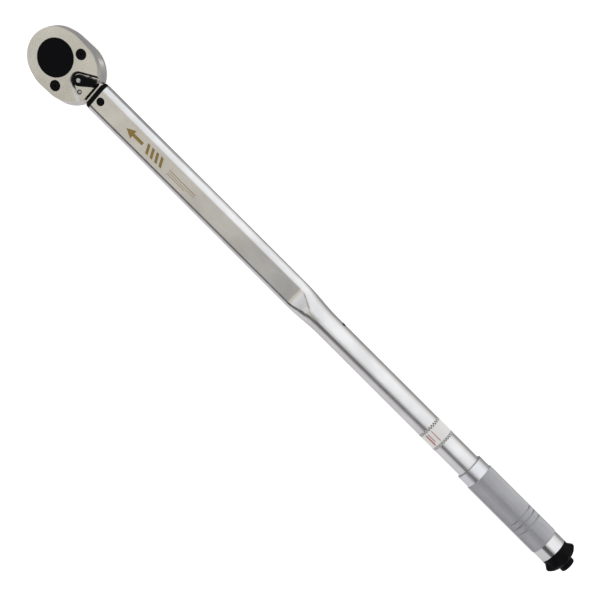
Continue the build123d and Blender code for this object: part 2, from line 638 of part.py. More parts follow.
with BuildPart() as handle_sleeve:
    x_cylinder(SLEEVE_SMOOTH_RADIUS, SLEEVE_START, KNURL_START)
    chamfer(handle_sleeve.edges().group_by(Axis.X)[0], 0.5)
    x_cylinder(KNURL_RADIUS, KNURL_START, KNURL_END)
    knurl_ends = handle_sleeve.edges().filter_by(GeomType.CIRCLE)
    chamfer(knurl_ends.filter_by(lambda edge: edge.radius == KNURL_RADIUS), 0.5)
    for x in GROOVES:
        with BuildSketch(Plane.XY) as groove:
            with Locations((x, KNURL_RADIUS)):
                Circle(GROOVE_RADIUS)
        revolve(groove.sketch, axis=Axis.X, mode=Mode.SUBTRACT)
    x_cylinder(SLEEVE_BORE_RADIUS, SLEEVE_START, KNURL_END, Mode.SUBTRACT)
save("handle_sleeve", handle_sleeve)

with BuildPart() as end_collar:
    x_cylinder(SLEEVE_BORE_RADIUS - GAP, COLLAR_START, KNURL_END + 1)
    x_cylinder(COLLAR_RADIUS, KNURL_END + GAP, COLLAR_END)
    chamfer(end_collar.edges().group_by(Axis.X)[-1], 0.6)
    x_cylinder(ADJUSTER_RADIUS + GAP, COLLAR_START, COLLAR_END, Mode.SUBTRACT)
    x_cylinder(COLLAR_NUT_RADIUS + 0.3, COLLAR_END - COLLAR_NUT_LENGTH, COLLAR_END, Mode.SUBTRACT)
save("end_collar", end_collar)

with BuildPart() as collar_nut:
    with BuildSketch(Plane.YZ.offset(COLLAR_END - COLLAR_NUT_LENGTH + GAP)):
        RegularPolygon(COLLAR_NUT_RADIUS, 6)
        Circle(ADJUSTER_RADIUS + GAP, mode=Mode.SUBTRACT)
    extrude(amount=COLLAR_NUT_LENGTH - 1.0)
save("collar_nut", collar_nut)

# --- Lock knob ---------------------------------------------------------------------------------

# The knob's screw turns in place; its spigot, threaded in the real one, draws the wedge back.

with BuildPart() as lock_wedge:
    x_cylinder(LOCK_ROD_RADIUS, WEDGE_START, WEDGE_END)
    chamfer(lock_wedge.edges().group_by(Axis.X)[0], LOCK_ROD_RADIUS - WEDGE_TIP_RADIUS - 0.05)
    x_cylinder(WEDGE_TIP_RADIUS, LOCK_BORE_START - 2, WEDGE_START + 1)
    bore_start = WEDGE_END - SPIGOT_LENGTH - WEDGE_TRAVEL
    x_cylinder(SPIGOT_RADIUS + RUNNING, bore_start, WEDGE_END, Mode.SUBTRACT)
save("lock_wedge", lock_wedge)

with BuildPart() as lock_screw:
    screw_start = WEDGE_END + WEDGE_TRAVEL + RUNNING
    x_cylinder(SPIGOT_RADIUS, WEDGE_END - SPIGOT_LENGTH + RUNNING, screw_start + 1)
    x_cylinder(LOCK_ROD_RADIUS, screw_start, LOCK_HEAD_START + 1)
    x_cylinder(LOCK_HEAD_RADIUS, LOCK_HEAD_START, LOCK_HEAD_END)
save("lock_screw", lock_screw)

with BuildPart() as lock_knob:
    with BuildSketch(Plane.XY):
        with BuildLine():
            rise = Polyline(
                (COLLAR_END + GAP, 0),
                (COLLAR_END + GAP, KNOB_SKIRT_RADIUS),
                (COLLAR_END + 4.5, KNOB_SKIRT_RADIUS),
                (COLLAR_END + 9.8, KNOB_LOBE_RADIUS),
                (COLLAR_END + 11, KNOB_LOBE_RADIUS),
            )
            shoulder = (KNOB_END - 2.0, KNOB_LOBE_RADIUS - 4.2)
            dome = ThreePointArc(rise @ 1, shoulder, (KNOB_END, KNOB_LOBE_RADIUS - 9.5))
            Polyline(dome @ 1, (KNOB_END, 0), (COLLAR_END + GAP, 0))
        make_face()
    revolve(axis=Axis.X)
    with BuildSketch(Plane.YZ.offset(COLLAR_END + 3)) as flutes:
        for lobe in range(KNOB_LOBES):
            angle = radians(90 - KNOB_LOBE_ANGLE + (lobe + 0.5) * 360 / KNOB_LOBES)
            with Locations((FLUTE_CENTRE * cos(angle), FLUTE_CENTRE * sin(angle))):
                Circle(FLUTE_RADIUS)
    extrude(flutes.sketch, amount=KNOB_END, mode=Mode.SUBTRACT)
    x_cylinder(LOCK_ROD_RADIUS + GAP, COLLAR_END, KNOB_END, Mode.SUBTRACT)
    x_cylinder(LOCK_HEAD_RADIUS + GAP, LOCK_HEAD_START - GAP, KNOB_END, Mode.SUBTRACT)
save("lock_knob", lock_knob)

with BuildPart() as knob_end_cap:
    x_cylinder(HUB_RADIUS, KNOB_END + GAP, HUB_END)
    fillet(knob_end_cap.edges().group_by(Axis.X)[-1], 1.5)
    x_cylinder(LOCK_HEAD_RADIUS - GAP, LOCK_HEAD_END + GAP, KNOB_END + 1)
save("knob_end_cap", knob_end_cap)
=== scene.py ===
import math

import bpy
from mathutils import Matrix, Vector


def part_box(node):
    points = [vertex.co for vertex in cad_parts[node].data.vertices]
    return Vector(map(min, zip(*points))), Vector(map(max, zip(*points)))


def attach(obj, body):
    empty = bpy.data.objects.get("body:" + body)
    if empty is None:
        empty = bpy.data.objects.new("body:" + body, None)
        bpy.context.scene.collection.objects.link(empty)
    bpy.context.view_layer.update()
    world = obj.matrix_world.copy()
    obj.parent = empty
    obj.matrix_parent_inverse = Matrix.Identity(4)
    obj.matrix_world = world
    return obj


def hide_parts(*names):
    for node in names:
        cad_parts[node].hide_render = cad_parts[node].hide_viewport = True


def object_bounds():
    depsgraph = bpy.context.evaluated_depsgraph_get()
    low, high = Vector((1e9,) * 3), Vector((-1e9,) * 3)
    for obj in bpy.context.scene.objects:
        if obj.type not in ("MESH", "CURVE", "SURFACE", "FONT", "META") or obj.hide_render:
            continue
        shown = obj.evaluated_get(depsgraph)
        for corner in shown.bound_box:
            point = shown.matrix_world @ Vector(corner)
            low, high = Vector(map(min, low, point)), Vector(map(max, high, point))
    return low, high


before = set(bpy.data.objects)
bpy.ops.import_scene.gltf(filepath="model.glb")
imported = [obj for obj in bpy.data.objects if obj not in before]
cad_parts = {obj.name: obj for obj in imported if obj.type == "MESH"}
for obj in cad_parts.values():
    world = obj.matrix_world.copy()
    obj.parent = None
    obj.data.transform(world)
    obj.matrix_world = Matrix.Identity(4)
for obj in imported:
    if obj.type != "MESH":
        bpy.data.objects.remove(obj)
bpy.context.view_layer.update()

# Torque wrench. Metres, in the frame of the CAD model: +X runs along the tube to the handle, +Z is
# the lever's side of the head. Sizes come from the boxes of the CAD nodes.

MM = 0.001

# Etched marks on the tube: an arrow and plain bars as (start, end, low side, high side) in mm, and a
# scale on the underside.
ARROW_TIP = 112.0 * MM
ARROW_HEAD = 11.0 * MM
ARROW_LENGTH = 26.0 * MM
HATCH_START = 144.0 * MM
HATCH_END = 172.0 * MM
HATCH_SPACING = 7.0 * MM
BARS = ((180, 221, -0.2, 1.2), (180, 221, -2.6, -1.6), (180, 208, -5.2, -4.0))
SCALE_START = 600.0 * MM
SCALE_END = 655.0 * MM

# Painted shade in the gap between the cover plate and the neck's lip, and in the dark ring round each
# dowel.
GAP_START = 54.15 * MM
GAP_END = 57.1 * MM
GAP_LOW = 20.0 * MM
GAP_HIGH = 45.0 * MM
GAP_SIDE = 12.5 * MM
DOWEL_X = 44.8 * MM
DOWEL_Y = 10.2 * MM
DOWEL_RING = 2.95 * MM
DOWEL_LOW = 25.2 * MM
DOWEL_HIGH = 26.8 * MM

# Camera: the wrench lies across the picture's diagonal, seen from above and a little from +Y.
CAMERA_DISTANCE = 1.51
CAMERA_ROLL = math.radians(20.6)
CAMERA_LENS = 80.26
AIM_X = 386.6 * MM
AIM_SIDE = -1.70 * MM
CAMERA_TWIST = math.radians(0.05)

TUBE_RADIUS = 14.65 * MM
SLEEVE_SMOOTH = 16.0 * MM  # smooth length at the front of the handle sleeve
SLEEVE_SMOOTH_RADIUS = 17.0 * MM
SLEEVE_CLEARANCE = 0.15 * MM
SLEEVE_CHAMFER = 0.5 * MM
KNURL_DEPTH = 0.42 * MM
KNURL_PITCH = 1.5 * MM
KNURL_STARTS = 72
GROOVE_OFFSETS = (78.8 * MM, 85.5 * MM, 93.3 * MM)  # from the sleeve's front
GROOVE_HALF_WIDTH = 0.75 * MM
TUBE_AXIS_Z = 21.5 * MM
FLOOR_DROP = 1.0 * MM  # the floor lies this far under the lowest point


# --- Node helpers -------------------------------------------------------------------------------


def new_material(name):
    """Node material with a Principled shader; returns the material, its tree and the shader."""
    material = bpy.data.materials.new(name)
    material.use_nodes = True
    tree = material.node_tree
    tree.nodes.clear()
    output = tree.nodes.new("ShaderNodeOutputMaterial")
    shader = tree.nodes.new("ShaderNodeBsdfPrincipled")
    tree.links.new(shader.outputs["BSDF"], output.inputs["Surface"])
    return material, tree, shader


def feed(tree, source, target):
    """Links a socket to an input, or sets the input if the source is a plain value."""
    if isinstance(source, bpy.types.NodeSocket):
        tree.links.new(source, target)
    else:
        target.default_value = source


def maths(tree, operation, *values, clamp=False):
    """One Math node; each value is a number or a socket."""
    node = tree.nodes.new("ShaderNodeMath")
    node.operation = operation
    node.use_clamp = clamp
    for value, target in zip(values, node.inputs):
        feed(tree, value, target)
    return node.outputs[0]


def mapped(tree, value, low, high, to_low, to_high):
    """Map Range node, clamped."""
    node = tree.nodes.new("ShaderNodeMapRange")
    for target, number in zip(node.inputs, (value, low, high, to_low, to_high)):
        feed(tree, number, target)
    return node.outputs[0]


def blended(tree, factor, first, second):
    """Colour mix of two colours or sockets."""
    node = tree.nodes.new("ShaderNodeMix")
    node.data_type = "RGBA"
    feed(tree, factor, node.inputs[0])
    feed(tree, first, node.inputs[6])
    feed(tree, second, node.inputs[7])
    return node.outputs[2]


def place(tree, scale=(1, 1, 1)):
    """Object coordinates, scaled by axis."""
    coordinates = tree.nodes.new("ShaderNodeTexCoord")
    scaling = tree.nodes.new("ShaderNodeMapping")
    scaling.inputs["Scale"].default_value = scale
    tree.links.new(coordinates.outputs["Object"], scaling.inputs["Vector"])
    return scaling.outputs["Vector"]


def parts_of(tree, vector):
    """The x, y and z sockets of a vector."""
    node = tree.nodes.new("ShaderNodeSeparateXYZ")
    tree.links.new(vector, node.inputs[0])
    return node.outputs[0], node.outputs[1], node.outputs[2]


def noise(tree, vector, scale, detail=3.0, roughness=0.5):
    """Noise value between 0 and 1."""
    node = tree.nodes.new("ShaderNodeTexNoise")
    node.inputs["Scale"].default_value = scale
    node.inputs["Detail"].default_value = detail
    node.inputs["Roughness"].default_value = roughness
    tree.links.new(vector, node.inputs["Vector"])
    return node.outputs["Fac"]


def bump(tree, height, distance, strength=1.0):
    """Bump normal from a height."""
    node = tree.nodes.new("ShaderNodeBump")
    node.inputs["Distance"].default_value = distance
    node.inputs["Strength"].default_value = strength
    tree.links.new(height, node.inputs["Height"])
    return node.outputs["Normal"]


def crevice(tree, distance):
    """1 on open faces, down to 0 in corners and gaps narrower than the distance."""
    shade = tree.nodes.new("ShaderNodeAmbientOcclusion")
    shade.samples = 8
    shade.inputs["Distance"].default_value = distance
    return mapped(tree, shade.outputs["AO"], 0.12, 0.5, 0.0, 1.0)


def inside(tree, value, low, high):
    """1 where the value lies between two numbers."""
    return maths(tree, "MULTIPLY", maths(tree, "GREATER_THAN", value, low),
                 maths(tree, "LESS_THAN", value, high))


def either(tree, first, second):
    """The larger of two masks."""
    return maths(tree, "MAXIMUM", first, second)


def edge_wear(tree, radius=0.6 * MM):
    """1 on convex edges, 0 on flat faces, from the difference between true and rounded normals."""
    rounded = tree.nodes.new("ShaderNodeBevel")
    rounded.samples = 4
    rounded.inputs["Radius"].default_value = radius
    geometry = tree.nodes.new("ShaderNodeNewGeometry")
    dot = tree.nodes.new("ShaderNodeVectorMath")
    dot.operation = "DOT_PRODUCT"
    tree.links.new(rounded.outputs["Normal"], dot.inputs[0])
    tree.links.new(geometry.outputs["Normal"], dot.inputs[1])
    return mapped(tree, dot.outputs["Value"], 0.98, 0.75, 0.0, 1.0)


# --- Materials ----------------------------------------------------------------------------------


def metal(name, colour, low_rough, high_rough, grain=(1, 1, 1), grain_scale=400.0, depth=0.004 * MM,
          shade_distance=None, marks_and_shade=None):
    """Plated or bare metal: cloudy colour, fine stretched grain in roughness and bump.

    A shade distance darkens corners and narrow gaps with painted shade; a marking function adds etched
    print or painted shade through a mask and a colour."""
    material, tree, shader = new_material(name)
    fine = noise(tree, place(tree, grain), grain_scale, 4.0, 0.65)
    broad = noise(tree, place(tree), 28.0, 2.0)
    darker = tuple(0.88 * channel for channel in colour[:3]) + (1.0,)
    tone = blended(tree, mapped(tree, broad, 0.35, 0.65, 0.0, 1.0), colour, darker)
    rough = mapped(tree, fine, 0.3, 0.7, low_rough, high_rough)
    # Painted shade: the colour goes near black in corners and narrow gaps.
    if shade_distance:
        open_face = crevice(tree, shade_distance)
        tone = blended(tree, open_face, (0.03, 0.03, 0.03, 1), tone)
    # The given function adds etched print on the tube and painted shade on the head and the knurl.
    if marks_and_shade:
        mask, ink = marks_and_shade(tree)
        tone = blended(tree, mask, tone, ink)
        rough = maths(tree, "ADD", rough, maths(tree, "MULTIPLY", mask, 0.2))
    feed(tree, tone, shader.inputs["Base Color"])
    shader.inputs["Metallic"].default_value = 1.0
    feed(tree, rough, shader.inputs["Roughness"])
    feed(tree, bump(tree, fine, depth), shader.inputs["Normal"])
    return material


def tube_marks(tree):
    """Brown etched arrow, hatch and bars on the flat, and graduations on the underside by the handle."""
    x, y, z = parts_of(tree, place(tree))
    on_top = maths(tree, "GREATER_THAN", z, TUBE_AXIS_Z)
    across = maths(tree, "ABSOLUTE", y)
    reach = maths(tree, "SUBTRACT", x, ARROW_TIP)
    head = maths(tree, "MULTIPLY", inside(tree, reach, 0.0, ARROW_HEAD),
                 maths(tree, "LESS_THAN", across, maths(tree, "MULTIPLY", reach, 0.54)))
    shaft = maths(tree, "MULTIPLY", inside(tree, reach, ARROW_HEAD, ARROW_LENGTH),
                  maths(tree, "LESS_THAN", across, 2.0 * MM))
    leaning = maths(tree, "ADD", x, maths(tree, "MULTIPLY", y, 0.45))
    phase = maths(tree, "MODULO", maths(tree, "SUBTRACT", leaning, HATCH_START), HATCH_SPACING)
    hatch = maths(tree, "MULTIPLY", inside(tree, leaning, HATCH_START, HATCH_END),
                  maths(tree, "LESS_THAN", phase, 0.55 * HATCH_SPACING))
    hatch = maths(tree, "MULTIPLY", hatch, maths(tree, "LESS_THAN", across, 5.6 * MM))
    etching = either(tree, either(tree, head, shaft), hatch)
    for start, end, low, high in BARS:
        bar = maths(tree, "MULTIPLY", inside(tree, x, start * MM, end * MM),
                    inside(tree, y, low * MM, high * MM))
        etching = either(tree, etching, bar)
    etching = maths(tree, "MULTIPLY", etching, on_top)
    # Graduations: a datum line, a short line for every turn of the handle and a long one for every five.
    below = maths(tree, "LESS_THAN", z, TUBE_AXIS_Z)
    in_scale = maths(tree, "MULTIPLY", below, inside(tree, x, SCALE_START, SCALE_END))
    datum = maths(tree, "LESS_THAN", across, 0.12 * MM)
    for spacing, half_width in ((2.5 * MM, 3.2 * MM), (12.5 * MM, 5.5 * MM)):
        step = maths(tree, "MODULO", maths(tree, "SUBTRACT", x, SCALE_START), spacing)
        line = maths(tree, "MULTIPLY", maths(tree, "LESS_THAN", step, 0.3 * MM),
                     maths(tree, "LESS_THAN", across, half_width))
        datum = either(tree, datum, line)
    graduation = maths(tree, "MULTIPLY", datum, in_scale)
    paler = maths(tree, "GREATER_THAN", x, HATCH_END + 4 * MM)
    brown = blended(tree, paler, (0.40, 0.28, 0.10, 1), (0.58, 0.50, 0.36, 1))
    ink = blended(tree, graduation, brown, (0.02, 0.02, 0.02, 1))
    return either(tree, etching, graduation), ink


def head_painted_shade(tree):
    """Painted shade: dark in the gap between the cover plate and the neck's lip, and round the two dowels.
    """
    x, y, z = parts_of(tree, place(tree))
    gap = maths(tree, "MULTIPLY", inside(tree, x, GAP_START, GAP_END), inside(tree, z, GAP_LOW, GAP_HIGH))
    gap = maths(tree, "MULTIPLY", gap, maths(tree, "LESS_THAN", maths(tree, "ABSOLUTE", y), GAP_SIDE))
    from_x = maths(tree, "SUBTRACT", x, DOWEL_X)
    from_y = maths(tree, "SUBTRACT", maths(tree, "ABSOLUTE", y), DOWEL_Y)
    distance = maths(tree, "SQRT", maths(tree, "ADD", maths(tree, "MULTIPLY", from_x, from_x),
                                         maths(tree, "MULTIPLY", from_y, from_y)))
    ring = maths(tree, "LESS_THAN", distance, DOWEL_RING)
    ring = maths(tree, "MULTIPLY", ring, inside(tree, z, DOWEL_LOW, DOWEL_HIGH))
    return either(tree, gap, ring), (0.02, 0.02, 0.02, 1)


def knurl_painted_shade(tree):
    """Painted shade in the valleys of the knurl and at both ends of the sleeve."""
    x, y, z = parts_of(tree, place(tree))
    low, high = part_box("handle_sleeve")
    height = maths(tree, "SUBTRACT", z, TUBE_AXIS_Z)
    radius = maths(tree, "SQRT", maths(tree, "ADD", maths(tree, "MULTIPLY", y, y),
                                       maths(tree, "MULTIPLY", height, height)))
    valley = mapped(tree, radius, high.y - KNURL_DEPTH, high.y, 1.0, 0.0)
    valley = maths(tree, "MULTIPLY", valley, maths(tree, "GREATER_THAN", x, low.x + SLEEVE_SMOOTH))
    ends = either(tree, maths(tree, "LESS_THAN", x, low.x + 0.9 * MM),
                  maths(tree, "GREATER_THAN", x, high.x - 0.7 * MM))
    return either(tree, valley, ends), (0.40, 0.40, 0.41, 1)


def black_metal(name, wear, shine):
    """Black oxide steel with thin bright wear on its edges."""
    material, tree, shader = new_material(name)
    fine = noise(tree, place(tree), 900.0, 3.0)
    worn = maths(tree, "MULTIPLY", edge_wear(tree, 0.35 * MM), wear)
    patchy = maths(tree, "MULTIPLY", worn, mapped(tree, fine, 0.4, 0.6, 0.3, 1.0))
    black = blended(tree, fine, (0.002, 0.002, 0.0025, 1), (0.006, 0.006, 0.007, 1))
    feed(tree, blended(tree, patchy, black, (0.35, 0.34, 0.33, 1)), shader.inputs["Base Color"])
    feed(tree, mapped(tree, patchy, 0.0, 1.0, 0.0, 0.9), shader.inputs["Metallic"])
    shader.inputs["Specular IOR Level"].default_value = shine
    feed(tree, mapped(tree, fine, 0.3, 0.7, 0.38, 0.55), shader.inputs["Roughness"])
    feed(tree, bump(tree, fine, 0.01 * MM), shader.inputs["Normal"])
    return material


def black_plastic(name, rough, grain_depth):
    """Moulded black plastic or rubber with a fine spark-eroded grain."""
    material, tree, shader = new_material(name)
    grain = noise(tree, place(tree), 1400.0, 3.0, 0.6)
    broad = noise(tree, place(tree), 60.0, 2.0)
    feed(tree, blended(tree, broad, (0.002, 0.002, 0.0025, 1), (0.005, 0.005, 0.006, 1)),
         shader.inputs["Base Color"])
    shader.inputs["Specular IOR Level"].default_value = 0.06
    feed(tree, mapped(tree, grain, 0.3, 0.7, rough - 0.06, rough + 0.08), shader.inputs["Roughness"])
    feed(tree, bump(tree, grain, grain_depth), shader.inputs["Normal"])
    return material


def label_print(name, low_x, high_x):
    """White film with a border of small black squares and a few plain printed bars."""
    material, tree, shader = new_material(name)
    x, y, z = parts_of(tree, place(tree))
    along = maths(tree, "SUBTRACT", x, low_x)
    turn = maths(tree, "ARCTAN2", y, maths(tree, "SUBTRACT", z, TUBE_AXIS_Z))
    around = maths(tree, "MULTIPLY", turn, TUBE_RADIUS)
    square = 1.7 * MM
    column = maths(tree, "FLOOR", maths(tree, "DIVIDE", along, square))
    row = maths(tree, "FLOOR", maths(tree, "DIVIDE", around, square))
    parity = maths(tree, "MODULO", maths(tree, "ADD", maths(tree, "ADD", column, row), 64.0), 2.0)
    border = 2 * square
    length = high_x - low_x
    in_front = maths(tree, "LESS_THAN", along, border)
    behind = maths(tree, "GREATER_THAN", along, length - border)
    framed = maths(tree, "MAXIMUM", in_front, behind)
    black = maths(tree, "MULTIPLY", framed, maths(tree, "LESS_THAN", parity, 0.5))
    bars = 0.0
    for start, end, first, last in ((5, 20, -6.0, -4.2), (5, 17, -2.6, -1.6), (5, 20, 3.0, 3.8)):
        bar = maths(tree, "MULTIPLY", inside(tree, along, start * MM, end * MM),
                    inside(tree, around, first * MM, last * MM))
        bars = either(tree, bars, bar)
    fibre = noise(tree, place(tree), 700.0, 2.0)
    white = blended(tree, fibre, (0.80, 0.79, 0.77, 1), (0.70, 0.69, 0.67, 1))
    printed = blended(tree, bars, white, (0.35, 0.05, 0.06, 1))
    feed(tree, blended(tree, black, printed, (0.01, 0.01, 0.012, 1)), shader.inputs["Base Color"])
    feed(tree, mapped(tree, fibre, 0.3, 0.7, 0.3, 0.42), shader.inputs["Roughness"])
    return material


LENGTHWISE = (0.06, 1, 1)  # grain drawn out along the tube
MATERIALS = {
    # Satin chrome gets painted shade in corners, in the gap behind the cover plate and round the dowels.
    "satin": metal("satin_chrome", (0.74, 0.72, 0.67, 1), 0.22, 0.32, grain_scale=700.0, shade_distance=1.6 * MM,
                   marks_and_shade=head_painted_shade),
    "tube": metal("tube_chrome", (0.78, 0.77, 0.76, 1), 0.18, 0.28, LENGTHWISE, 900.0, marks_and_shade=tube_marks),
    "bright": metal("bright_chrome", (0.76, 0.75, 0.74, 1), 0.10, 0.16, grain_scale=600.0),
    # Knurled chrome gets painted shade in the knurl's valleys and at the sleeve's ends.
    "knurl": metal("knurled_chrome", (0.80, 0.80, 0.82, 1), 0.18, 0.28, grain_scale=500.0,
                   marks_and_shade=knurl_painted_shade),
    "steel": metal("machined_steel", (0.56, 0.56, 0.57, 1), 0.22, 0.35, grain_scale=800.0),
    "hard": metal("ground_steel", (0.42, 0.42, 0.44, 1), 0.25, 0.4, grain_scale=800.0),
    "spring": metal("spring_steel", (0.25, 0.24, 0.25, 1), 0.3, 0.45, grain_scale=600.0),
    "black": black_metal("black_oxide", 0.35, 0.05),
    "disc": black_metal("black_hub", 0.05, 0.04),
    "plastic": black_plastic("black_plastic", 0.5, 0.02 * MM),
    "rubber": black_plastic("black_rubber", 0.62, 0.01 * MM),
}
label_low, label_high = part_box("scale_label")
MATERIALS["label"] = label_print("label_film", label_low.x, label_high.x)

NODE_MATERIALS = {
    "ratchet_head": "satin", "cover_plate": "satin", "cover_screws": "black", "cover_dowels": "steel",
    "drive_gear": "disc", "socket_ball": "hard", "socket_ball_spring": "spring",
    "reversing_lever": "black", "lever_shaft": "steel", "pawl": "hard", "pawl_detent": "hard",
    "pawl_detent_spring": "spring", "tube": "tube", "pivot_pin": "black", "tube_seal": "rubber",
    "side_set_screw": "black", "tube_nut": "steel", "nut_pins": "hard", "scale_label": "label",
    "tilt_block": "hard", "plunger": "hard", "main_spring": "spring", "spring_seat": "steel",
    "thrust_bearing": "hard", "adjusting_screw": "steel", "handle_sleeve": "knurl",
    "end_collar": "bright", "collar_nut": "steel", "lock_knob": "plastic", "lock_screw": "steel",
    "lock_wedge": "hard", "knob_end_cap": "plastic",
}
for node, key in NODE_MATERIALS.items():
    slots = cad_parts[node].data.materials
    slots.clear()
    slots.append(MATERIALS[key])


# --- Handle sleeve with a real knurl --------------------------------------------------------------


def add_mesh(name, vertices, faces, material, body, smooth=True):
    """New mesh piece that rides on a body."""
    mesh = bpy.data.meshes.new(name)
    mesh.from_pydata(vertices, [], faces)
    mesh.validate()
    mesh.update()
    for polygon in mesh.polygons:
        polygon.use_smooth = smooth
    mesh.materials.append(material)
    piece = bpy.data.objects.new(name, mesh)
    bpy.context.scene.collection.objects.link(piece)
    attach(piece, body)
    return piece


def knurl_depth(x, turn):
    """Depth of a diamond knurl: two crossed sets of V grooves."""
    along = x / KNURL_PITCH
    around = KNURL_STARTS * turn / (2 * math.pi)
    cut = 0.0
    for phase in (along + around, along - around):
        share = abs((phase % 1.0) - 0.5) * 2  # 1 in the groove, 0 on the ridge
        cut = max(cut, share)
    return KNURL_DEPTH * cut


def lathe(stations, around, radius_at):
    """Closed ring mesh: stations are (x, base radius) along the outside and back along the bore."""
    vertices = []
    faces = []
    for x, base in stations:
        for step in range(around):
            turn = 2 * math.pi * step / around
            radius = radius_at(x, turn, base)
            vertices.append((x, radius * math.cos(turn), TUBE_AXIS_Z + radius * math.sin(turn)))
    rows = len(stations)
    for row in range(rows):
        after = (row + 1) % rows
        for step in range(around):
            beside = (step + 1) % around
            faces.append((row * around + step, after * around + step,
                          after * around + beside, row * around + beside))
    return vertices, faces


def make_handle_sleeve():
    """Sleeve with a smooth front, a diamond knurl and three turned grooves."""
    low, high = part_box("handle_sleeve")
    front, rear = low.x, high.x
    knurl_radius = high.y
    bore = TUBE_RADIUS + SLEEVE_CLEARANCE
    knurl_front = front + SLEEVE_SMOOTH
    grooves = [front + offset for offset in GROOVE_OFFSETS]
    around = KNURL_STARTS * 6
    step = KNURL_PITCH / 6
    stations = [
        (front + SLEEVE_CHAMFER, SLEEVE_SMOOTH_RADIUS),
        (knurl_front - 0.6 * MM, SLEEVE_SMOOTH_RADIUS),
        (knurl_front, SLEEVE_SMOOTH_RADIUS),
        (knurl_front + 0.01 * MM, knurl_radius - SLEEVE_CHAMFER),
    ]
    count = int(round((rear - knurl_front - 2 * SLEEVE_CHAMFER) / step))
    for index in range(count + 1):
        stations.append((knurl_front + SLEEVE_CHAMFER + index * step, knurl_radius))
    stations += [
        (rear, knurl_radius - SLEEVE_CHAMFER),
        (rear, bore),
        (front, bore),
        (front, SLEEVE_SMOOTH_RADIUS - SLEEVE_CHAMFER),
    ]

    def radius_at(x, turn, base):
        if base < knurl_radius:
            return base
        nearest = min(abs(x - groove) for groove in grooves)
        if nearest < GROOVE_HALF_WIDTH:
            return base - math.sqrt(GROOVE_HALF_WIDTH**2 - nearest**2)
        return base - knurl_depth(x - knurl_front, turn)

    vertices, faces = lathe(stations, around, radius_at)
    sleeve = add_mesh("knurled_sleeve", vertices, faces, MATERIALS["knurl"], "handle", smooth=False)
    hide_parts("handle_sleeve")


make_handle_sleeve()


# --- Studio -------------------------------------------------------------------------------------


def make_floor():
    """Plain pale floor with a painted reflection that only glossy rays see. It can't be seen from below."""
    size = 6.0
    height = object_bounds()[0].z - FLOOR_DROP
    mesh = bpy.data.meshes.new("floor")
    corners = [(-size, -size, height), (size, -size, height), (size, size, height), (-size, size, height)]
    mesh.from_pydata(corners, [], [(0, 1, 2, 3)])
    floor = bpy.data.objects.new("floor", mesh)
    bpy.context.scene.collection.objects.link(floor)
    material = bpy.data.materials.new("pale_floor")
    material.use_nodes = True
    tree = material.node_tree
    tree.nodes.clear()
    output = tree.nodes.new("ShaderNodeOutputMaterial")
    matt = tree.nodes.new("ShaderNodeBsdfDiffuse")
    grain = noise(tree, place(tree), 40.0, 2.0)
    feed(tree, blended(tree, grain, (0.93, 0.93, 0.93, 1), (0.91, 0.91, 0.91, 1)), matt.inputs["Color"])
    glow = tree.nodes.new("ShaderNodeEmission")
    glow.inputs["Color"].default_value = (1, 1, 1, 1)
    glow.inputs["Strength"].default_value = 0.55
    lit = tree.nodes.new("ShaderNodeAddShader")
    tree.links.new(matt.outputs[0], lit.inputs[0])
    tree.links.new(glow.outputs[0], lit.inputs[1])
    # Painted reflection: glossy rays see an emitted tone in place of the floor, light on the near side,
    # painted dark on the far side by the wrench and paler beyond.
    mirror_tone = tree.nodes.new("ShaderNodeEmission")
    x, y, z = parts_of(tree, place(tree))
    beyond = mapped(tree, y, -20 * MM, 20 * MM, 0.0, 1.0)
    distant = mapped(tree, y, 50 * MM, 150 * MM, 0.0, 1.0)
    distant = maths(tree, "MULTIPLY", distant, mapped(tree, x, 110 * MM, 240 * MM, 0.0, 1.0))
    shaded = blended(tree, distant, (0.38, 0.38, 0.395, 1), (1.00, 0.99, 0.97, 1))
    feed(tree, blended(tree, beyond, (0.72, 0.71, 0.74, 1), shaded), mirror_tone.inputs["Color"])
    path = tree.nodes.new("ShaderNodeLightPath")
    reflected = tree.nodes.new("ShaderNodeMixShader")
    tree.links.new(path.outputs["Is Glossy Ray"], reflected.inputs[0])
    tree.links.new(lit.outputs[0], reflected.inputs[1])
    tree.links.new(mirror_tone.outputs[0], reflected.inputs[2])
    clear = tree.nodes.new("ShaderNodeBsdfTransparent")
    geometry = tree.nodes.new("ShaderNodeNewGeometry")
    one_sided = tree.nodes.new("ShaderNodeMixShader")
    tree.links.new(geometry.outputs["Backfacing"], one_sided.inputs[0])
    tree.links.new(reflected.outputs[0], one_sided.inputs[1])
    tree.links.new(clear.outputs[0], one_sided.inputs[2])
    tree.links.new(one_sided.outputs[0], output.inputs["Surface"])
    mesh.materials.append(material)


